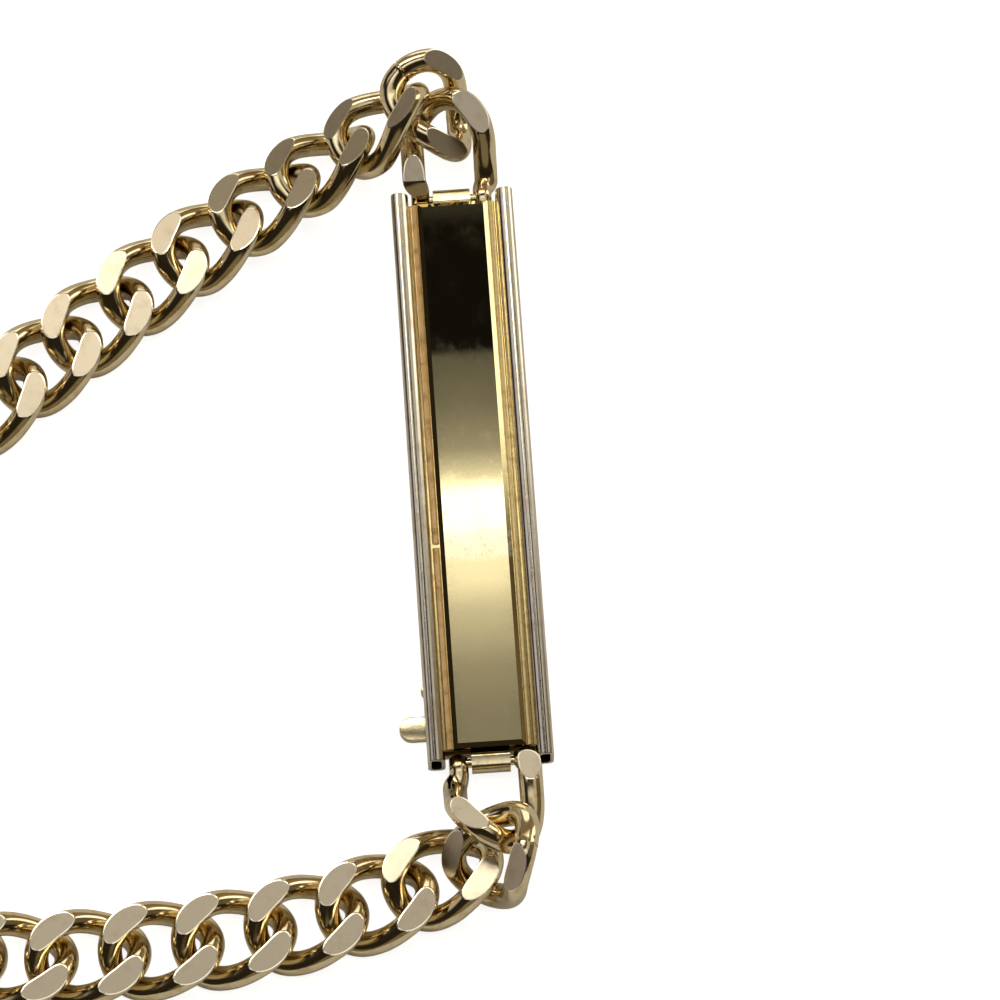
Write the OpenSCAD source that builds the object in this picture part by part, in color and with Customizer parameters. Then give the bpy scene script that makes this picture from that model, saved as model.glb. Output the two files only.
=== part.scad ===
// Identity bracelet lying flat: a curb chain closed by a name plate with a folding clasp leaf under it.
// Units are millimetres. X runs across the plate, Y along it and Z up from the table.

/* [Plate] */

// Length of the plate's side rails
plate_l = 40; // [39.4:0.1:40.4]
// Width over both side rails
plate_w = 8.2; // [8:0.05:8.6]
// Length of the flat panel between the rails
panel_l = 38.4; // [38:0.1:38.6]
// Width of the flat panel
panel_w = 4.74; // [4.4:0.02:4.9]
// Width of one rolled side rail
rail_w = 1.15; // [1.05:0.01:1.2]
// Top of the rails above the table
rail_top = 3; // [2.8:0.05:3.3]
// Top of the flat panel above the table
panel_top = 2.85; // [2.8:0.01:2.9]
// Floor of the two long grooves above the table
groove_floor = 2.45; // [2.42:0.01:2.6]
// Sheet thickness of the rolled rails
sheet_t = 0.26; // [0.2:0.01:0.3]

/* [Clasp] */

// Width of the clasp leaf under the plate
leaf_w = 7; // [6.6:0.05:7.2]
// Thickness of the clasp leaf
leaf_t = 0.5; // [0.4:0.02:0.5]
// How far the thumb tab reaches from the plate's middle line
tab_reach = 5.8; // [5.4:0.05:6.4]
// Width of the thumb tab
tab_w = 1.65; // [1.4:0.05:2]
// Place of the thumb tab along the plate
tab_y = -17; // [-17.2:0.1:-15]
// Outside radius of the rolled knuckles
knuckle_r = 0.65; // [0.6:0.01:0.68]
// Length of each rolled knuckle
knuckle_l = 2.5; // [2.2:0.02:2.5]
// How far each knuckle's axis lies inside the plate's end
knuckle_inset = 0.1; // [0.06:0.02:0.1]
// Height of each knuckle's axis above the table
knuckle_z = 1.5; // [1.45:0.01:1.55]

/* [Chain] */

// Half length of a link along its wire's middle line
link_a = 3.3; // [3.26:0.01:3.34]
// Half width of a link along its wire's middle line
link_b = 2.45; // [2.42:0.01:2.47]
// Rise of the twisted wire above and below the link's middle
link_c = 1; // [0.98:0.01:1.02]
// Radius of the wire
wire_r = 0.82; // [0.78:0.01:0.83]
// Half thickness of the chain over its diamond-cut flats
flat_z = 1.3; // [1.28:0.01:1.3]
// Reach of an end link from its cross pin to the middle of the link
end_reach = 3.6; // [3.56:0.01:3.62]
// Radius of the end links' cross pins
pin_r = 0.3; // [0.26:0.01:0.3]

/* [Hidden] */

gold = [0.86, 0.74, 0.5];
gold_dark = [0.72, 0.6, 0.38];

// clear gaps between the plate and the leaf, and round the cross pins
seat_gap = 0.1;
pin_gap = 0.1;

// how far pieces of one solid run into each other
weld = 0.5;

rail_z = leaf_t + seat_gap;
rail_h = rail_top - rail_z;
rail_x = (plate_w - rail_w) / 2;
rail_round = 0.45;

// undersides of the panel and of the grooves' floors above the table
panel_under = 2.2;
groove_under = 2.17;

// the plate ends where its rails do, or this far past a panel that is longer
panel_step = 0.8;
plate_end = max(plate_l / 2, panel_l / 2 + panel_step);
knuckle_y = plate_end - knuckle_inset;

// the leaf stops short of the end links' legs
leaf_l = 38.2;
riser_t = 0.45;
tab_round = tab_w / 2;

// small half-round bump on the leaf's left edge
bump_r = 0.55;
bump_x = -3.7;
bump_y = -14.45;

// a link's wire is swept through these stations with this many sides
stations = 16;
wire_sides = 6;
twist_shift = -0.05;

// an open end link: its legs run from the bow to the cut ends beside the knuckle
leg_steps = [0.28, 0.56, 0.8, 1];
bow_steps = 3;
leg_peak = 2.3;
leg_stub = 0.38;
leg_low = 0.12;
leg_narrow = 0.35;
leg_narrow_from = 2.3;
leg_narrow_run = 0.8;
leg_thin_from = 0.7;
leg_end_r = 0.62;
leg_total = end_reach + leg_stub;
pin_l = 4.2;

// The chain's route: it leaves the lower corner along the table, takes the plain way round on the
// plate's left and comes back flat. Its start is measured from the lower knuckle and its end from the
// upper one. Each number is the turn in degrees from one link to the next.
route_start = [-7.9, -8.8];
route_end = [-27.75, -9.83];
route_heading = 196;
route_turns = [-6, -3, -3, -2, -6, -10, -14, -16, -17,
  -17, -17, -16, -14, -10, -4, -3, -2, -1];

// spacing of the links on the stretches that the turns follow
pitch_start = 4.72;
pitch_bend = 4.57;
pitch_straight = 4.66;
start_count = 4;
bend_from = 9;

// Links that lean or stand at the plate's two ends: x, y, z, yaw, pitch, roll.
// y is measured from the lower knuckle in the first list and from the upper knuckle in the second.
corner_low = [
  [-0.05, -7, 3.55, -157.5, -50, 0],
  [-3.55, -7.4, 1.55, -161, -6, 7]
];
corner_high = [
  [-24.2, -7.2, 1.3, 216.5, 0, 0],
  [-20.3, -4.5, 1.5, 212.5, -4, 4.5],
  [-16.45, -2.05, 1.8, 212.5, -3.5, 12.5],
  [-12.45, 0.4, 2.1, 211, -3, 19],
  [-8.5, 2.8, 2.45, 211.5, -5.5, 26.5],
  [-4.5, 4.95, 3.65, 209.5, -21, 31],
  [-0.8, 6.1, 3.25, 123.5, 30.5, 24]
];
end_low_pitch = 28;
end_high_pitch = 16;

// running sum of a list's first n numbers
function sum_to(list, n) = n <= 0 ? 0 : list[n - 1] + sum_to(list, n - 1);

// heading of each link on the route, and its place as the turns and spacings give it
route_n = len(route_turns) + 1;
function heading(i) = route_heading + sum_to(route_turns, i);
function pitch_to(i) =
  i <= start_count ? pitch_start : (abs(route_turns[i - 1]) > bend_from ? pitch_bend : pitch_straight);
function step_to(i) =
  let (a = (heading(i) + heading(i - 1)) / 2)
  pitch_to(i) * [cos(a), sin(a)];
function marched(i) = i == 0 ? route_start - [0, knuckle_y] : marched(i - 1) + step_to(i);

// each link takes its share of what the route lacks to its end
route_lack = route_end + [0, knuckle_y] - marched(route_n - 1);
function route_at(i) = marched(i) + route_lack * i / (route_n - 1);
function route_pose(i) = [route_at(i)[0], route_at(i)[1], flat_z, heading(i), 0, 0];

// a corner's pose, moved along the plate to the knuckle that it is measured from
function moved(p, y) = [p[0], p[1] + y, p[2], p[3], p[4], p[5]];

// pose of one of the links, counted from the lower end of the plate
low_n = len(corner_low);
function pose(k) =
  k <= low_n ? moved(corner_low[k - 1], -knuckle_y)
  : k <= low_n + route_n ? route_pose(k - 1 - low_n)
  : moved(corner_high[k - 1 - low_n - route_n], knuckle_y);

// middle line of a link's twisted wire
function rise(t) = -link_c * (sin(2 * t) + twist_shift * sin(4 * t));
function link_line(t) = [link_a * cos(t), link_b * sin(t), rise(t)];

// middle line of one leg of an end link; d runs from the bow along the leg
function narrow(d) =
  let (k = max(0, min(1, (d - leg_narrow_from) / leg_narrow_run)))
  leg_narrow * k * k * (3 - 2 * k);
function leg_fall(d) = 180 * (min(d, end_reach) - leg_peak) / (end_reach - leg_peak);
function leg_rise(d) =
  d < leg_peak ? sin(90 * d / leg_peak) : (1 + leg_low) / 2 + (1 - leg_low) / 2 * cos(leg_fall(d));
function leg_line(d, side) = [-d, side * (link_b - narrow(d)), side * link_c * leg_rise(d)];

function unit(v) = v / norm(v);
function clip(z) = max(-flat_z, min(flat_z, z));

// one ring of wire corners round point p with wire direction t
function ring(p, t, r) =
  let (u = unit(cross([0, 0, 1], t)), v = cross(t, u))
  [for (k = [0 : wire_sides - 1])
    let (a = 360 * (k + 0.5) / wire_sides, q = p + r * (cos(a) * u + sin(a) * v))
    [q[0], q[1], clip(q[2])]];

// wire direction at point i of a list of points
function along(pts, i, closed) =
  let (n = len(pts),
    a = closed ? pts[(i + n - 1) % n] : pts[max(0, i - 1)],
    b = closed ? pts[(i + 1) % n] : pts[min(n - 1, i + 1)])
  unit(b - a);

// two triangles for each side of the wire between neighbouring rings
function wall(n, closed) =
  [for (i = [0 : closed ? n - 1 : n - 2]) for (k = [0 : wire_sides - 1])
    let (j = (i + 1) % n, m = (k + 1) % wire_sides,
      a = i * wire_sides + k, b = j * wire_sides + k,
      c = j * wire_sides + m, d = i * wire_sides + m)
    each [[a, b, c], [a, c, d]]];

module swept_wire(pts, radii, closed) {
  n = len(pts);
  rings = [for (i = [0 : n - 1]) each ring(pts[i], along(pts, i, closed), radii[i])];
  last = (n - 1) * wire_sides;
  cap_a = [for (k = [0 : wire_sides - 1]) k];
  cap_b = [for (k = [wire_sides - 1 : -1 : 0]) last + k];
  sides = wall(n, closed);
  polyhedron(points = rings, faces = closed ? sides : concat(sides, [cap_a, cap_b]), convexity = 6);
}

module placed(p) {
  translate([p[0], p[1], p[2]])
    rotate([p[5], -p[4], p[3]])
      children();
}

module chain_link(k) {
  pts = [for (i = [0 : stations - 1]) link_line(360 * i / stations)];
  radii = [for (i = [0 : stations - 1]) wire_r];
  color(gold)
    placed(pose(k))
      swept_wire(pts, radii, true);
}

// open link whose two legs are joined by a cross pin through the knuckle
module end_link() {
  low_leg = [for (i = [len(leg_steps) - 1 : -1 : 0]) leg_line(leg_steps[i] * leg_total, -1)];
  bow = [for (i = [-bow_steps : bow_steps]) link_line(i * 90 / bow_steps)];
  high_leg = [for (s = leg_steps) leg_line(s * leg_total, 1)];
  leg_r = [for (s = leg_steps) s > leg_thin_from ? leg_end_r : wire_r];
  low_r = [for (i = [len(leg_r) - 1 : -1 : 0]) leg_r[i]];
  bow_r = [for (p = bow) wire_r];
  swept_wire(concat(low_leg, bow, high_leg), concat(low_r, bow_r, leg_r), false);
  translate([-end_reach, 0, 0])
    rotate([90, 0, 0])
      cylinder(r = pin_r, h = pin_l, center = true);
}

module end_link_at(side, pitch) {
  color(gold)
    translate([0, side * knuckle_y, knuckle_z])
      rotate([0, -pitch, side * 90])
        translate([end_reach, 0, 0])
          end_link();
}

// flat shape of one rolled rail, seen along the plate
module round_bar(w, h, r) {
  square([w, h - 2 * r], center = true);
  square([w - 2 * r, h], center = true);
  for (x = [-1, 1])
    for (y = [-1, 1])
      translate([x * (w / 2 - r), y * (h / 2 - r)])
        circle(r = r);
}

module rail(side) {
  translate([side * rail_x, plate_l / 2, rail_z + rail_h / 2])
    rotate([90, 0, 0])
      linear_extrude(height = plate_l)
        difference() {
          round_bar(rail_w, rail_h, rail_round);
          round_bar(rail_w - 2 * sheet_t, rail_h - 2 * sheet_t, rail_round - sheet_t);
        }
}

// slab between the rails from one height to another
module slab(w, z0, z1) {
  translate([-w / 2, -panel_l / 2, z0])
    cube([w, panel_l, z1 - z0]);
}

module plate() {
  groove_span = 2 * rail_x - rail_w + sheet_t;
  color(gold)
    union() {
      slab(panel_w, panel_under, panel_top);
      slab(groove_span, groove_under, groove_floor);
      rail(-1);
      rail(1);
    }
}

// rolled knuckle past the leaf's upper end; its foot runs from the leaf to a short riser
module knuckle() {
  riser_y = knuckle_y - knuckle_r;
  foot_y = min(leaf_l / 2 - weld, riser_y);
  difference() {
    union() {
      translate([0, knuckle_y, knuckle_z])
        rotate([0, 90, 0])
          cylinder(r = knuckle_r, h = knuckle_l, center = true);
      translate([-knuckle_l / 2, riser_y, 0])
        cube([knuckle_l, riser_t, knuckle_z]);
      translate([-knuckle_l / 2, foot_y, 0])
        cube([knuckle_l, riser_y + riser_t - foot_y, leaf_t]);
    }
    translate([0, knuckle_y, knuckle_z])
      rotate([0, 90, 0])
        cylinder(r = pin_r + pin_gap, h = 2 * knuckle_l, center = true);
  }
}

module thumb_tab() {
  tab_end = tab_reach - tab_round;
  translate([-tab_end, tab_y - tab_w / 2, 0])
    cube([tab_end - leaf_w / 2 + weld, tab_w, leaf_t]);
  translate([-tab_end, tab_y, 0])
    cylinder(r = tab_round, h = leaf_t);
}

module clasp_leaf() {
  color(gold_dark)
    union() {
      translate([-leaf_w / 2, -leaf_l / 2, 0])
        cube([leaf_w, leaf_l, leaf_t]);
      thumb_tab();
      translate([bump_x, bump_y, 0])
        cylinder(r = bump_r, h = leaf_t);
      knuckle();
      rotate([0, 0, 180])
        knuckle();
    }
}

plate();
clasp_leaf();
end_link_at(-1, end_low_pitch);  // end_link_bottom
end_link_at(1, end_high_pitch);  // end_link_top
chain_link(1);  // link_01
chain_link(2);  // link_02
chain_link(3);  // link_03
chain_link(4);  // link_04
chain_link(5);  // link_05
chain_link(6);  // link_06
chain_link(7);  // link_07
chain_link(8);  // link_08
chain_link(9);  // link_09
chain_link(10);  // link_10
chain_link(11);  // link_11
chain_link(12);  // link_12
chain_link(13);  // link_13
chain_link(14);  // link_14
chain_link(15);  // link_15
chain_link(16);  // link_16
chain_link(17);  // link_17
chain_link(18);  // link_18
chain_link(19);  // link_19
chain_link(20);  // link_20
chain_link(21);  // link_21
chain_link(22);  // link_22
chain_link(23);  // link_23
chain_link(24);  // link_24
chain_link(25);  // link_25
chain_link(26);  // link_26
chain_link(27);  // link_27
chain_link(28);  // link_28
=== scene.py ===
import math

import bmesh
import bpy
from mathutils import Euler, Matrix, Vector


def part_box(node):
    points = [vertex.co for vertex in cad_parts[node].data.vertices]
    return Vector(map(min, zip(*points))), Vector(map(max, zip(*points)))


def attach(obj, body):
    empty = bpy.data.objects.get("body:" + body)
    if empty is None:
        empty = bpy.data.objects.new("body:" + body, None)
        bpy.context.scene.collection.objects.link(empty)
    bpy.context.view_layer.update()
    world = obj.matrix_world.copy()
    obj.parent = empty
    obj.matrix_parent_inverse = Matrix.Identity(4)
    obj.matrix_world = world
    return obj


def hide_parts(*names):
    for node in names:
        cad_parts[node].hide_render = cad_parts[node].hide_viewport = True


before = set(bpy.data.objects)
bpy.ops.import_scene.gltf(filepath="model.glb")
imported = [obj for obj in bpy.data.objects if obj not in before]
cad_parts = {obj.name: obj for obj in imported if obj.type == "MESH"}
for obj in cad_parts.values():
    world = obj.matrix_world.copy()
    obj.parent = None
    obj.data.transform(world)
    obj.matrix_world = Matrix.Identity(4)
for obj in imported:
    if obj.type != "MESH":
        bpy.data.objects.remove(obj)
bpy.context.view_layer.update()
mm = 0.001
hair = 0.0001 * mm  # how near a point counts as lying on a plane


# the same view as the photo: from above, a little from the left
camera = {"elevation": 70, "azimuth": 3.88, "distance": 314, "aim": (1.813, -1.837, 1.3), "lens": 170.8, "film": 36}


def makeCamera(c):
    up, around = math.radians(c["elevation"]), math.radians(c["azimuth"])
    look = Vector((math.sin(around) * math.cos(up), math.cos(around) * math.cos(up), -math.sin(up)))
    data = bpy.data.cameras.new("photoCamera")
    data.lens = c["lens"]
    data.sensor_width = c["film"]
    data.clip_start = 10 * mm
    eye = bpy.data.objects.new("photoCamera", data)
    bpy.context.collection.objects.link(eye)
    eye.location = (Vector(c["aim"]) - look * c["distance"]) * mm
    eye.rotation_euler = look.to_track_quat("-Z", "Y").to_euler()
    bpy.context.scene.camera = eye


makeCamera(camera)


# shader sockets that can be written as sums
class Flow:
    def __init__(self, tree, socket=None):
        self.tree = tree
        self.socket = socket

    def node(self, kind, settings=None, inputs=None, out=0):
        new = self.tree.nodes.new(kind)
        for key, value in (settings or {}).items():
            if key == "stops":  # (place, brightness) pairs of a ramp
                while len(new.color_ramp.elements) < len(value):
                    new.color_ramp.elements.new(1)
                for element, (at, tone) in zip(new.color_ramp.elements, value):
                    element.position = at
                    element.color = (tone, tone, tone, 1)
            else:
                setattr(new, key, value)
        for key, value in (inputs or {}).items():
            if isinstance(value, Flow):
                self.tree.links.new(value.socket, new.inputs[key])
            else:
                new.inputs[key].default_value = value
        return Flow(self.tree, new.outputs[out])

    # another socket of the node that this one comes from
    def also(self, out):
        return Flow(self.tree, self.socket.node.outputs[out])

    def math(self, operation, first, second=0.0):
        return self.node("ShaderNodeMath", {"operation": operation}, {0: first, 1: second})

    def __add__(self, other):
        return self.math("ADD", self, other)

    def __sub__(self, other):
        return self.math("SUBTRACT", self, other)

    def __rsub__(self, other):
        return self.math("SUBTRACT", other, self)

    def __mul__(self, other):
        return self.math("MULTIPLY", self, other)

    def __truediv__(self, other):
        return self.math("DIVIDE", self, other)

    __radd__ = __add__
    __rmul__ = __mul__

    # 0 below low, 1 above high, smooth between
    def step(self, low, high):
        return self.node("ShaderNodeMapRange", {"interpolation_type": "SMOOTHSTEP"},
                         {"Value": self, "From Min": low, "From Max": high})

    # 1 inside low..high, with soft sides
    def band(self, low, high, soft):
        return self.step(low - soft, low + soft) * (1 - self.step(high - soft, high + soft))

    def mix(self, first, second):
        return self.node("ShaderNodeMix", {"data_type": "RGBA"},
                         {0: self, 6: first, 7: second}, out=2)


def openMaterial(name):
    material = bpy.data.materials.new(name)
    material.use_nodes = True
    shader = material.node_tree.nodes["Principled BSDF"]
    flow = Flow(material.node_tree)
    place = flow.node("ShaderNodeTexCoord", out="Object")
    inMm = flow.node("ShaderNodeMapping", inputs={"Vector": place, "Scale": (1000, 1000, 1000)})
    return material, shader, flow, inMm


def plug(shader, flow, values):
    for key, value in values.items():
        if isinstance(value, Flow):
            flow.tree.links.new(value.socket, shader.inputs[key])
        else:
            shader.inputs[key].default_value = value


# gold-tone finishes: colour where bright, colour where worn or dull, gloss, how much it wanders
finishes = {
    "polishedWire": {"bright": (0.80, 0.68, 0.44), "dull": (0.66, 0.49, 0.26), "rough": 0.12, "roughWander": 0.12,
                     "mottle": 1.1, "dent": 0.003, "lines": (7, 7, 7), "lineDepth": 0.0008},
    "cutFlat": {"bright": (0.56, 0.49, 0.385), "dull": (0.49, 0.41, 0.31), "rough": 0.30, "roughWander": 0.08,
                "mottle": 0.9, "dent": 0.001, "lines": (2, 26, 2), "lineDepth": 0.0007},
    # the rim round each flat is painted near-white, a painted highlight where the cut edge would catch the light
    "paintedHighlightRim": {"bright": (0.97, 0.92, 0.78), "dull": (0.90, 0.83, 0.66), "rough": 0.22, "roughWander": 0.05,
                  "mottle": 1.5, "dent": 0.001, "lines": (9, 9, 9), "lineDepth": 0.0004},
    "rolledRail": {"bright": (0.76, 0.70, 0.58), "dull": (0.62, 0.53, 0.40), "rough": 0.13, "roughWander": 0.10,
                   "mottle": 0.5, "dent": 0.002, "lines": (14, 0.7, 14), "lineDepth": 0.0008},
    "grooveFloor": {"bright": (0.90, 0.71, 0.33), "dull": (0.76, 0.52, 0.20), "rough": 0.10, "roughWander": 0.10,
                    "mottle": 1.2, "dent": 0.002, "lines": (16, 0.9, 16), "lineDepth": 0.0016},
    # a darker, browner copy of the groove gold, used on the left ridge only: painted shade for the side that catches
    # less light
    "leftRidgePaintedShade": {"bright": (0.78, 0.52, 0.22), "dull": (0.50, 0.29, 0.10), "rough": 0.12, "roughWander": 0.10,
                    "mottle": 0.8, "dent": 0.003, "lines": (16, 0.9, 16), "lineDepth": 0.0018},
    "claspSatin": {"bright": (0.80, 0.70, 0.46), "dull": (0.58, 0.46, 0.26), "rough": 0.20, "roughWander": 0.12,
                   "mottle": 1.5, "dent": 0.005, "lines": (18, 3, 3), "lineDepth": 0.0016},
}


def goldFinish(name):
    look = finishes[name]
    material, shader, flow, spot = openMaterial(name)
    mottle = flow.node("ShaderNodeTexNoise",
                       inputs={"Vector": spot, "Scale": look["mottle"], "Detail": 6, "Roughness": 0.62})
    stretched = flow.node("ShaderNodeMapping", inputs={"Vector": spot, "Scale": look["lines"]})
    lines = flow.node("ShaderNodeTexNoise", inputs={"Vector": stretched, "Scale": 1, "Detail": 3, "Roughness": 0.7})
    worn = mottle.step(0.46, 0.72)
    height = mottle * look["dent"] + lines * look["lineDepth"]
    bump = flow.node("ShaderNodeBump", inputs={"Height": height, "Strength": 1, "Distance": mm})
    plug(shader, flow, {
        "Base Color": worn.mix((*look["bright"], 1), (*look["dull"], 1)),
        "Metallic": 1.0,
        "Roughness": (mottle - 0.5) * look["roughWander"] + look["rough"],
        "Normal": bump,
    })
    return material


# the plate's mirror panel: haze, hairlines and a rubbed patch below its middle
panelLook = {"bright": (0.88, 0.73, 0.38), "cloudy": (0.70, 0.58, 0.33), "rubbed": (0.86, 0.72, 0.56),
             "rough": 0.012, "haze": 0.035, "patchFrom": -6.3, "patchTo": -4.3, "patchSoft": 0.35}


def panelFinish(name, look):
    material, shader, flow, spot = openMaterial(name)
    x = flow.node("ShaderNodeSeparateXYZ", inputs={"Vector": spot}, out="X")
    y = x.also("Y")
    haze = flow.node("ShaderNodeTexNoise", inputs={"Vector": spot, "Scale": 0.55, "Detail": 8, "Roughness": 0.7})
    fine = flow.node("ShaderNodeTexNoise", inputs={"Vector": spot, "Scale": 4.5, "Detail": 6, "Roughness": 0.75})
    slanted = flow.node("ShaderNodeMapping", inputs={"Vector": spot, "Rotation": (0, 0, 0.45), "Scale": (12, 0.5, 1)})
    scratches = flow.node("ShaderNodeTexNoise", inputs={"Vector": slanted, "Scale": 1, "Detail": 2}).step(0.66, 0.72)
    edge = fine * 1.4 - 0.7
    patch = (y + edge).band(look["patchFrom"], look["patchTo"], look["patchSoft"]) * fine.step(0.40, 0.58)
    rough = haze.step(0.42, 0.75) * look["haze"] + look["rough"] + patch * 0.07 + scratches * 0.02
    height = haze * 0.0002 + scratches * 0.0002 + patch * fine * 0.00012
    bump = flow.node("ShaderNodeBump", inputs={"Height": height, "Strength": 1, "Distance": mm})
    clouds = (haze + fine).step(0.85, 1.2) * (x * x).step(0.2, 6.0)
    metal = (clouds * 0.8).mix((*look["bright"], 1), (*look["cloudy"], 1))
    colour = (patch * 0.7).mix(metal, (*look["rubbed"], 1))
    plug(shader, flow, {"Base Color": colour, "Metallic": 1.0, "Roughness": rough, "Normal": bump})
    return material


gold = {name: goldFinish(name) for name in finishes}
gold["mirrorPanel"] = panelFinish("mirrorPanel", panelLook)
print("finishes:", ", ".join(gold))


# everyday moves on a piece, with the sizes given in mm
def clearSelection():
    if bpy.context.object and bpy.context.object.mode != "OBJECT":
        bpy.ops.object.mode_set(mode="OBJECT")
    bpy.ops.object.select_all(action="DESELECT")


def makeActive(piece):
    clearSelection()
    piece.select_set(True)
    bpy.context.view_layer.objects.active = piece


def openMesh(piece):
    makeActive(piece)
    bpy.ops.object.mode_set(mode="EDIT")


def closeMesh():
    bpy.ops.object.mode_set(mode="OBJECT")


def pick(piece, kind, test):
    bpy.ops.mesh.select_mode(type=kind)
    bpy.ops.mesh.select_all(action="DESELECT")
    shape = bmesh.from_edit_mesh(piece.data)
    for part in {"FACE": shape.faces, "EDGE": shape.edges, "VERT": shape.verts}[kind]:
        if test(part):
            part.select_set(True)
    bmesh.update_edit_mesh(piece.data)


def middle(edge):
    return (edge.verts[0].co + edge.verts[1].co) / 2 / mm


def runsAlong(edge, axis):
    way = (edge.verts[0].co - edge.verts[1].co).normalized()
    return abs(way[axis]) > 0.99


# a block between two corners, in mm
def addBlock(name, low, high):
    clearSelection()
    low, high = Vector(low), Vector(high)
    bpy.ops.mesh.primitive_cube_add(size=1, location=(low + high) / 2 * mm, scale=(high - low) * mm)
    block = bpy.context.object
    block.name = name
    bpy.ops.object.transform_apply(location=True, rotation=True, scale=True)
    return block


def addRod(name, centre, radius, length, turn, sides=48):
    clearSelection()
    bpy.ops.mesh.primitive_cylinder_add(vertices=sides, radius=radius * mm, depth=length * mm,
                                        location=Vector(centre) * mm, rotation=turn)
    rod = bpy.context.object
    rod.name = name
    bpy.ops.object.transform_apply(location=True, rotation=True, scale=True)
    return rod


def roundEdges(piece, width, steps, test):
    openMesh(piece)
    pick(piece, "EDGE", test)
    bpy.ops.mesh.bevel(offset=width * mm, segments=steps, affect="EDGES")
    closeMesh()


def joinUp(name, parts):
    clearSelection()
    for part in parts:
        part.select_set(True)
    bpy.context.view_layer.objects.active = parts[0]
    bpy.ops.object.join()
    parts[0].name = name
    return parts[0]


def finishPiece(piece, node, material=None, angle=28):
    makeActive(piece)
    bpy.ops.object.shade_smooth_by_angle(angle=math.radians(angle))
    if material:
        piece.data.materials.clear()
        piece.data.materials.append(material)
    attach(piece, "root")
    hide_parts(node)


# the curb links, in mm and degrees
link = {"halfLength": 3.3, "halfWidth": 2.45, "rise": 1.0, "wire": 0.83, "flat": 1.3, "rim": 0.075, "rimDrop": 0.012,
        "points": 150, "roundness": 15, "twistShift": -0.05, "taper": 0.045, "taperFrom": 10, "taperRun": 60,
        "seamGap": 0.07, "seamDepth": 0.12}
endLink = {"reach": 3.6, "stub": 0.38, "peak": 2.3, "low": 0.12, "narrow": 0.35, "narrowFrom": 2.3, "narrowRun": 0.8,
           "endWire": 0.62, "thinFrom": 2.4, "thinRun": 0.8, "padFrom": 2.4, "padSlope": 0.54,
           "pin": 0.3, "pinLength": 4.2, "lowPitch": 28, "highPitch": 16, "bowSteps": 56, "legSteps": 30}

# where the links lie: x, y from the nearer knuckle, z, yaw, pitch, roll
knuckleY = 19.9
knuckleZ = 1.5
cornerLow = [(-0.05, -7, 3.55, -157.5, -50, 0), (-3.55, -7.4, 1.55, -161, -6, 7)]
cornerHigh = [(-24.2, -7.2, 1.3, 216.5, 0, 0), (-20.3, -4.5, 1.5, 212.5, -4, 4.5),
              (-16.45, -2.05, 1.8, 212.5, -3.5, 12.5), (-12.45, 0.4, 2.1, 211, -3, 19),
              (-8.5, 2.8, 2.45, 211.5, -5.5, 26.5), (-4.5, 4.95, 3.65, 209.5, -21, 31),
              (-0.8, 6.1, 3.25, 123.5, 30.5, 24)]
route = {"start": (-7.9, -8.8), "end": (-27.75, -9.83), "heading": 196,
         "turns": (-6, -3, -3, -2, -6, -10, -14, -16, -17, -17, -17, -16, -14, -10, -4, -3, -2, -1),
         "startPitch": 4.72, "bendPitch": 4.57, "straightPitch": 4.66, "startCount": 4, "bendFrom": 9}


# the links lie flat along a route of small turns, and what the route misses its end by is shared out
def routePoses(r):
    at = Vector(r["start"]) - Vector((0, knuckleY))
    way = r["heading"]
    poses = [(at, way)]
    for count, turn in enumerate(r["turns"], 1):
        if count <= r["startCount"]:
            pitch = r["startPitch"]
        else:
            pitch = r["bendPitch"] if abs(turn) > r["bendFrom"] else r["straightPitch"]
        mean = math.radians(way + turn / 2)
        at = at + pitch * Vector((math.cos(mean), math.sin(mean)))
        way += turn
        poses.append((at, way))
    lack = Vector(r["end"]) + Vector((0, knuckleY)) - at
    last = len(poses) - 1
    return [(*(spot + lack * i / last), link["flat"], yaw, 0, 0) for i, (spot, yaw) in enumerate(poses)]


linkPoses = ([(x, y - knuckleY, z, yaw, pitch, roll) for x, y, z, yaw, pitch, roll in cornerLow] + routePoses(route)
             + [(x, y + knuckleY, z, yaw, pitch, roll) for x, y, z, yaw, pitch, roll in cornerHigh])


def poseMatrix(x, y, z, yaw, pitch, roll):
    turn = Euler((math.radians(roll), math.radians(-pitch), math.radians(yaw)), "XYZ")
    return Matrix.Translation(Vector((x, y, z)) * mm) @ turn.to_matrix().to_4x4()


# the middle of a link's wire, t degrees round
def linkPoint(t):
    a = math.radians(t)
    rise = -link["rise"] * (math.sin(2 * a) + link["twistShift"] * math.sin(4 * a))
    return Vector((link["halfLength"] * math.cos(a), link["halfWidth"] * math.sin(a), rise))


def smooth(k):
    k = max(0, min(1, k))
    return k * k * (3 - 2 * k)


# the wire is thickest under the flats and thins past them, so that the flats end in ovals
def wireAt(t):
    off = abs((2 * t) % 180 - 90)
    return link["wire"] - link["taper"] * smooth((off - link["taperFrom"]) / link["taperRun"])


# the middle of an end link's leg, d mm down from its bow
def legPoint(d, side):
    e = endLink
    if d < e["peak"]:
        rise = math.sin(math.radians(90 * d / e["peak"]))
    else:
        fall = math.pi * (min(d, e["reach"]) - e["peak"]) / (e["reach"] - e["peak"])
        rise = (1 + e["low"]) / 2 + (1 - e["low"]) / 2 * math.cos(fall)
    width = link["halfWidth"] - e["narrow"] * smooth((d - e["narrowFrom"]) / e["narrowRun"])
    return Vector((-d, side * width, side * link["rise"] * rise))


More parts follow.
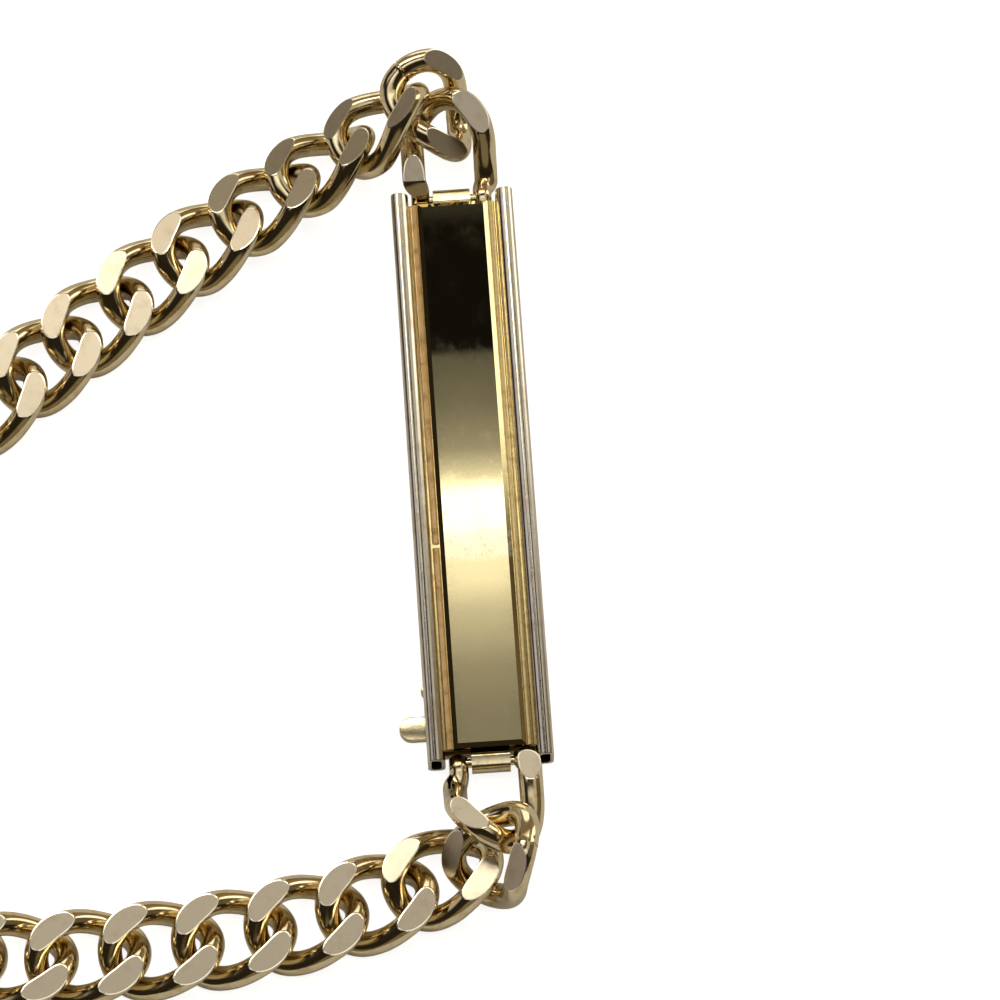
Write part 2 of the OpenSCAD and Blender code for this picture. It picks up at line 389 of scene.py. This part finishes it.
# round wire along a path, in mm, as a mesh
def drawWire(name, points, radii, closed):
    clearSelection()
    curve = bpy.data.curves.new(name, "CURVE")
    curve.dimensions = "3D"
    curve.bevel_depth = mm
    curve.bevel_resolution = link["roundness"]
    curve.use_fill_caps = not closed
    spline = curve.splines.new("POLY")
    spline.points.add(len(points) - 1)
    spline.use_cyclic_u = closed
    for knot, point, radius in zip(spline.points, points, radii):
        knot.co = (*(point * mm), 1)
        knot.radius = radius
    wire = bpy.data.objects.new(name, curve)
    bpy.context.collection.objects.link(wire)
    makeActive(wire)
    bpy.ops.object.convert(target="MESH")
    wire = bpy.context.object
    openMesh(wire)
    bpy.ops.mesh.select_all(action="SELECT")
    bpy.ops.mesh.remove_doubles(threshold=10 * hair)
    closeMesh()
    return wire


# press one leg to a sloping pad where it holds the pin
def pressPad(wire):
    corner = Vector((-endLink["padFrom"], 0, link["flat"])) * mm
    tilt = Vector((-endLink["padSlope"], 0, 1)).normalized()
    openMesh(wire)
    pick(wire, "FACE", lambda f: f.calc_center_median().x < -mm and f.calc_center_median().y > 0)
    bpy.ops.mesh.bisect(plane_co=corner, plane_no=tilt, use_fill=True, clear_outer=True, threshold=hair)
    pick(wire, "FACE", lambda f: f.normal.dot(tilt) > 0.9999
         and abs((f.calc_center_median() - corner).dot(tilt)) < 10 * hair)
    bpy.ops.mesh.region_to_loop()
    bpy.ops.mesh.mark_sharp()
    closeMesh()


# file both faces flat, with a narrow rim round each flat that is painted near-white: a painted highlight of the cut
# edge
def cutFlats(wire):
    cutAt = link["flat"] - link["rimDrop"]
    openMesh(wire)
    for side in (1, -1):
        bpy.ops.mesh.select_all(action="SELECT")
        bpy.ops.mesh.bisect(plane_co=(0, 0, side * cutAt * mm), plane_no=(0, 0, side),
                            use_fill=True, clear_outer=True, threshold=hair)
    for side in (1, -1):
        pick(wire, "FACE", lambda f: abs(f.normal.z) > 0.999
             and abs(f.calc_center_median().z - side * cutAt * mm) < 10 * hair)
        bpy.ops.mesh.inset(thickness=link["rim"] * mm, depth=0)
        bpy.ops.transform.translate(value=(0, 0, side * link["rimDrop"] * mm))
        bpy.ops.mesh.region_to_loop()
        bpy.ops.mesh.mark_sharp()
    bpy.ops.mesh.select_all(action="SELECT")
    bpy.ops.mesh.normals_make_consistent(inside=False)
    closeMesh()
    for finish in ("polishedWire", "cutFlat", "paintedHighlightRim"):
        wire.data.materials.append(gold[finish])
    # index 1 is the cut flat, index 2 the rim that carries the painted highlight
    for face in wire.data.polygons:
        height = abs(face.center.z) / mm
        face.material_index = 1 if height > link["flat"] - 0.001 else 2 if height > cutAt + 0.001 else 0


# a closed link; the two that were opened to join the chain show a cut
def makeLink(name, seam=None):
    turns = [360 * i / link["points"] for i in range(link["points"])]
    radii = {t: wireAt(t) for t in turns}
    if seam is not None:
        for offset, depth in ((-1, 0), (-0.45, 1), (0.45, 1), (1, 0)):
            near = seam + math.degrees(offset * link["seamGap"] / link["halfLength"])
            radii[near % 360] = link["wire"] - depth * link["seamDepth"]
    turns = sorted(radii)
    wire = drawWire(name, [linkPoint(t) for t in turns], [radii[t] for t in turns], True)
    cutFlats(wire)
    return wire


def makeEndLink(name, padded):
    e = endLink
    total = e["reach"] + e["stub"]
    steps = [total * (i + 1) / e["legSteps"] for i in range(e["legSteps"])]
    turns = [-90 + 180 * i / e["bowSteps"] for i in range(e["bowSteps"] + 1)]
    low = [legPoint(d, -1) for d in reversed(steps)]
    bow = [linkPoint(t) for t in turns]
    high = [legPoint(d, 1) for d in steps]
    thinner = e["endWire"] - wireAt(90)
    legWire = [wireAt(90) + thinner * smooth((d - e["thinFrom"]) / e["thinRun"]) for d in steps]
    bowWire = [wireAt(t) for t in turns]
    wire = drawWire(name, low + bow + high, legWire[::-1] + bowWire + legWire, False)
    if padded:
        pressPad(wire)
    cutFlats(wire)
    pin = addRod("crossPin", (-e["reach"], 0, 0), e["pin"], e["pinLength"], (math.radians(90), 0, 0), 32)
    pin.data.materials.append(gold["polishedWire"])
    return joinUp(name, [wire, pin])


def placeCopy(model, name, place):
    piece = bpy.data.objects.new(name, model.data.copy())
    piece.data.name = name
    piece.data.transform(place)
    bpy.context.collection.objects.link(piece)
    return piece


seams = {1: 162, 28: 9}  # where the opened links were cut, in degrees round the link
model = makeLink("linkModel")
for count, pose in enumerate(linkPoses, 1):
    source = makeLink("seamModel", seams[count]) if count in seams else model
    piece = placeCopy(source, "curbLink%02d" % count, poseMatrix(*pose))
    finishPiece(piece, "link_%02d" % count)
    if source is not model:
        bpy.data.objects.remove(source)
bpy.data.objects.remove(model)
print("links:", len(linkPoses))

for name, node, side, pitch in (("endLinkLow", "end_link_bottom", -1, endLink["lowPitch"]),
                                ("endLinkHigh", "end_link_top", 1, endLink["highPitch"])):
    endModel = makeEndLink("endModel", side > 0)
    hinge = poseMatrix(0, side * knuckleY, knuckleZ, side * 90, pitch, 0)
    piece = placeCopy(endModel, name, hinge @ Matrix.Translation((endLink["reach"] * mm, 0, 0)))
    finishPiece(piece, node)
    bpy.data.objects.remove(endModel)
print("end links: 2")


# the name plate, in mm
plate = {"railWidth": 1.15, "railLow": 0.6, "outerRound": 0.47, "innerRound": 0.66, "underRound": 0.4,
         "sheet": 0.26, "lip": 0.05, "panelLength": 38.4, "panelWidth": 4.74, "panelTop": 2.85, "panelLow": 2.2,
         "edgeWidth": 0.3, "edgeDrop": 0.19, "grooveTop": 2.45, "grooveLow": 2.17,
         "ridgeFrom": 2.41, "ridgeTo": 2.94, "crestAt": 2.59, "crest": 2.60, "crestRound": 0.03,
         "ridgeInner": 2.51, "ridgeOuter": 2.41, "nickAt": -5.19, "nickHalf": 0.14, "nickDepth": 0.3}


# a rail rolled from thin sheet: its edges are rounded, then it is opened right through
def makeRail(side, length, width, top):
    inner, outer = width / 2 - plate["railWidth"], width / 2
    near, far = sorted((side * inner, side * outer))
    rail = addBlock("rail", (near, -length / 2, plate["railLow"]), (far, length / 2, top))
    roundEdges(rail, plate["underRound"], 6, lambda e: runsAlong(e, 1) and middle(e).z < top - 0.1)
    for at, radius, steps in ((outer, plate["outerRound"], 12), (inner, plate["innerRound"], 14)):
        roundEdges(rail, radius, steps, lambda e: runsAlong(e, 1) and middle(e).z > top - 0.01
                   and abs(abs(middle(e).x) - at) < 0.01)
    openMesh(rail)
    pick(rail, "FACE", lambda f: abs(f.normal.y) > 0.99)  # both ends
    bpy.ops.mesh.inset(thickness=plate["sheet"] * mm, depth=0)
    bpy.ops.mesh.bridge_edge_loops()
    closeMesh()
    roundEdges(rail, plate["lip"], 2, lambda e: abs(abs(middle(e).y) - length / 2) < 0.01
               and abs(e.verts[0].co.y - e.verts[1].co.y) < 10 * hair
               and sum(abs(f.normal.y) for f in e.link_faces) < 1.5)
    rail.data.materials.append(gold["rolledRail"])
    return rail


# a ridge along the panel, with its crest raised and its inner side a little higher than its outer
def makeRidge(side):
    k = plate
    near, far = sorted((side * k["ridgeFrom"], side * k["ridgeTo"]))
    half, top = k["panelLength"] / 2, (k["ridgeOuter"] - 0.01) * mm
    ridge = addBlock("ridge", (near, -half, k["grooveTop"] - 0.1), (far, half, k["ridgeOuter"]))
    openMesh(ridge)
    bpy.ops.mesh.select_all(action="SELECT")
    bpy.ops.mesh.bisect(plane_co=(side * k["crestAt"] * mm, 0, 0), plane_no=(1, 0, 0), threshold=hair)
    for at, height in ((k["crestAt"], k["crest"]), (k["ridgeFrom"], k["ridgeInner"])):
        pick(ridge, "VERT", lambda v: abs(v.co.x - side * at * mm) < 10 * hair and v.co.z > top)
        bpy.ops.transform.translate(value=(0, 0, (height - k["ridgeOuter"]) * mm))
    if side < 0:  # a nick across the left ridge
        for step in (-1, 0, 1):
            bpy.ops.mesh.select_all(action="SELECT")
            across = (k["nickAt"] + step * k["nickHalf"]) * mm
            bpy.ops.mesh.bisect(plane_co=(0, across, 0), plane_no=(0, 1, 0), threshold=hair)
        pick(ridge, "VERT", lambda v: abs(v.co.y - k["nickAt"] * mm) < 10 * hair and v.co.z > top)
        bpy.ops.transform.translate(value=(0, 0, -k["nickDepth"] * mm))
    closeMesh()
    roundEdges(ridge, k["crestRound"], 3, lambda e: runsAlong(e, 1) and middle(e).z > k["crest"] - 0.01)
    # the left ridge takes the darker brown copy of the groove gold as painted shade, the right ridge the plain groove
    # gold
    ridge.data.materials.append(gold["leftRidgePaintedShade" if side < 0 else "grooveFloor"])
    return ridge


def makePlate():
    low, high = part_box("plate")
    length, width, top = (high[1] - low[1]) / mm, (high[0] - low[0]) / mm, high[2] / mm
    half, wide = plate["panelLength"] / 2, plate["panelWidth"] / 2
    panel = addBlock("panel", (-wide, -half, plate["panelLow"]), (wide, half, plate["panelTop"]))
    openMesh(panel)  # a raised face with sloped sides
    pick(panel, "FACE", lambda f: f.normal.z > 0.9)
    bpy.ops.mesh.inset(thickness=plate["edgeWidth"] * mm, depth=0)
    pick(panel, "VERT", lambda v: v.co.z > (plate["panelTop"] - 0.01) * mm and abs(v.co.x) > (wide - 0.01) * mm)
    bpy.ops.transform.translate(value=(0, 0, -plate["edgeDrop"] * mm))
    closeMesh()
    panel.data.materials.append(gold["mirrorPanel"])
    span = width / 2 - plate["railWidth"] + plate["sheet"] / 2
    floor = addBlock("grooveFloor", (-span, -half, plate["grooveLow"]), (span, half, plate["grooveTop"]))
    floor.data.materials.append(gold["grooveFloor"])
    parts = [panel, floor]
    for side in (-1, 1):
        parts.append(makeRail(side, length, width, top))
        parts.append(makeRidge(side))
    return joinUp("namePlate", parts)


finishPiece(makePlate(), "plate", angle=12)
print("plate made")


# the folding clasp's leaf under the plate, in mm
leaf = {"length": 38.2, "width": 7, "thick": 0.5, "edge": 0.12, "tabReach": 5.8, "tabWidth": 1.65, "tabY": -17,
        "bump": (-3.7, -14.45), "bumpRound": 0.55, "knuckle": 0.65, "rollRound": 0.4, "slope": 0.13,
        "knuckleLength": 2.5, "riser": 0.45, "riserTop": 1.3, "sole": 0.5, "bore": 0.4}


# a roll pressed a little flat on its outer side, the riser under it and the sole that joins it to the leaf
def makeKnuckle(side):
    k = leaf
    r, half = k["knuckle"], k["knuckleLength"] / 2
    roll = addBlock("roll", (-half, side * knuckleY - r, knuckleZ - r), (half, side * knuckleY + r, knuckleZ + r))
    openMesh(roll)
    pick(roll, "VERT", lambda v: v.co.z > knuckleZ * mm and abs(v.co.y) > knuckleY * mm)
    bpy.ops.transform.translate(value=(0, 0, -k["slope"] * mm))
    closeMesh()
    roundEdges(roll, k["rollRound"], 9, lambda e: runsAlong(e, 0))
    openMesh(roll)
    pick(roll, "FACE", lambda f: abs(f.normal.x) > 0.99)  # both ends, bored right through
    bpy.ops.mesh.inset(thickness=(k["knuckle"] - k["bore"]) * mm, depth=0)
    bpy.ops.mesh.bridge_edge_loops()
    closeMesh()
    far = knuckleY - r + k["riser"]
    low, high = sorted((side * (knuckleY - r), side * far))
    riser = addBlock("riser", (-half, low, 0.02), (half, high, k["riserTop"]))
    low, high = sorted((side * (k["length"] / 2 - k["sole"]), side * far))
    sole = addBlock("sole", (-half, low, 0), (half, high, k["thick"]))
    return [roll, riser, sole]


def makeLeaf():
    k = leaf
    strip = addBlock("leaf", (-k["width"] / 2, -k["length"] / 2, 0), (k["width"] / 2, k["length"] / 2, k["thick"]))
    roundEdges(strip, k["edge"], 3, lambda e: middle(e).z > k["thick"] - 0.01)
    half = k["tabWidth"] / 2
    tab = addBlock("tab", (-k["tabReach"], k["tabY"] - half, 0.005),
                   (-k["width"] / 2 + 0.5, k["tabY"] + half, k["thick"] - 0.005))
    roundEdges(tab, half * 0.995, 14, lambda e: runsAlong(e, 2) and middle(e).x < -k["tabReach"] + 0.01)
    bump = addRod("bump", (*k["bump"], k["thick"] / 2), k["bumpRound"], k["thick"] - 0.01, (0, 0, 0), 40)
    for piece in (tab, bump):  # the rims are sloped off
        roundEdges(piece, k["edge"], 3, lambda e: middle(e).z > k["thick"] - 0.02)
    parts = [strip, tab, bump] + makeKnuckle(-1) + makeKnuckle(1)
    return joinUp("claspLeaf", parts)


finishPiece(makeLeaf(), "clasp_leaf", gold["claspSatin"])
print("leaf made")


# pale floor and the studio's soft light
room = {"floor": 0.93, "lift": 0.04, "glow": 0.85, "dark": (0.022, 0.017, 0.011),
        "cardHalf": 0.085, "cardScale": 2}

# the soft windows, by the direction they lie in: side from, to, ahead from, to, soft edge, colour
windows = {
    "overhead": (-0.62, 0.62, -0.20, 0.12, 0.03, (0.74, 0.71, 0.66)),
    "overheadStrip": (-0.45, 0.45, -0.05, 0.05, 0.015, (1.50, 1.45, 1.32)),
    "above": (-0.60, 0.40, 0.435, 0.57, 0.02, (5.20, 4.90, 4.15)),
    "leftSpot": (-0.33, -0.14, 0.37, 0.435, 0.03, (5.50, 5.30, 4.60)),
    "aboveSoft": (-0.60, 0.45, 0.57, 0.70, 0.03, (1.00, 0.92, 0.76)),
    "beyond": (-0.70, 0.45, 0.70, 0.92, 0.03, (0.22, 0.18, 0.11)),
    "farLow": (-0.35, 0.30, 0.93, 1.20, 0.02, (1.50, 1.44, 1.28)),
    "farRight": (0.46, 0.90, 0.50, 0.92, 0.05, (0.28, 0.19, 0.09)),
    "right": (0.34, 0.72, 0.00, 0.50, 0.05, (0.56, 0.52, 0.44)),
    "lowRight": (0.72, 1.20, 0.346, 0.62, 0.02, (1.85, 1.80, 1.62)),
    "lowRightDim": (0.72, 1.20, -0.30, 0.33, 0.03, (0.14, 0.11, 0.07)),
    "left": (-0.78, -0.44, 0.25, 0.43, 0.03, (0.58, 0.55, 0.61)),
    "lowLeft": (-1.20, -0.93, -0.30, 0.70, 0.03, (0.50, 0.45, 0.42)),
    "behind": (-0.60, 0.60, -1.02, -0.84, 0.05, (0.20, 0.165, 0.10)),
}

# the card that the plate's panel mirrors: slope of the way ahead, and how bright the card is there
cardTones = ((0.285, 0.22), (0.314, 0.265), (0.325, 0.36), (0.338, 0.70), (0.3447, 1.15), (0.3515, 1.25),
             (0.3584, 2.7), (0.3655, 2.7), (0.3690, 0.98), (0.3725, 0.64), (0.376, 0.37), (0.386, 0.20),
             (0.3985, 0.125), (0.3998, 0.006), (0.431, 0.006), (0.4345, 0.035), (0.46, 0.04))


def makeFloor():
    clearSelection()
    bpy.ops.mesh.primitive_plane_add(size=3, location=(0, 0, 0))
    floor = bpy.context.object
    floor.name = "paleFloor"
    material, shader, flow, spot = openMaterial("paleFloor")
    seen = flow.node("ShaderNodeLightPath", out="Is Camera Ray")
    pale, lift, glow = ((room[key],) * 3 + (1,) for key in ("floor", "lift", "glow"))
    plug(shader, flow, {"Base Color": pale, "Roughness": 0.9, "Specular IOR Level": 0.0,
                        "Emission Color": seen.mix(lift, glow), "Emission Strength": 1.0})
    floor.data.materials.append(material)


# 1 for the ways that lead through a window, with soft sides
def throughWindow(flow, way, left, right, near, far, soft):
    centre = ((left + right) / 2, (near + far) / 2, 0)
    halfX, halfY = (right - left) / 2, (far - near) / 2
    off = flow.node("ShaderNodeVectorMath", {"operation": "SUBTRACT"}, {0: way, 1: centre})
    off = flow.node("ShaderNodeVectorMath", {"operation": "ABSOLUTE"}, {0: off})
    inside = flow.node("ShaderNodeMapRange", {"data_type": "FLOAT_VECTOR", "interpolation_type": "SMOOTHSTEP"},
                       {"Vector": off, 7: (halfX - soft, halfY - soft, 0), 8: (halfX + soft, halfY + soft, 1),
                        9: (1, 1, 1), 10: (0, 0, 0)}, out="Vector")
    across = flow.node("ShaderNodeSeparateXYZ", inputs={"Vector": inside}, out="X")
    return across * across.also("Y")


def lightRoom():
    world = bpy.data.worlds.new("studio")
    bpy.context.scene.world = world
    world.use_nodes = True
    flow = Flow(world.node_tree)
    way = flow.node("ShaderNodeTexCoord", out="Generated")
    side = flow.node("ShaderNodeSeparateXYZ", inputs={"Vector": way}, out="X")
    ahead, up = side.also("Y"), side.also("Z")
    light = (*room["dark"], 1)
    for *edges, tone in windows.values():
        light = throughWindow(flow, way, *edges).mix(light, (*tone, 1))
    slope = ahead / flow.math("MAXIMUM", up, 0.02)
    first, last = cardTones[0][0], cardTones[-1][0]
    stops = [((at - first) / (last - first), tone / room["cardScale"]) for at, tone in cardTones]
    card = flow.node("ShaderNodeValToRGB", {"stops": stops}, {"Fac": (slope - first) / (last - first)})
    bright = flow.node("ShaderNodeVectorMath", {"operation": "SCALE"}, {0: card, "Scale": room["cardScale"]})
    inCard = side.band(-room["cardHalf"], room["cardHalf"], 0.01) * slope.band(first, last, 0.004)
    light = inCard.mix(light, bright)
    flow.tree.links.new(light.socket, flow.tree.nodes["Background"].inputs["Color"])
    bpy.context.scene.view_settings.view_transform = "Standard"


makeFloor()
lightRoom()
print("room lit")
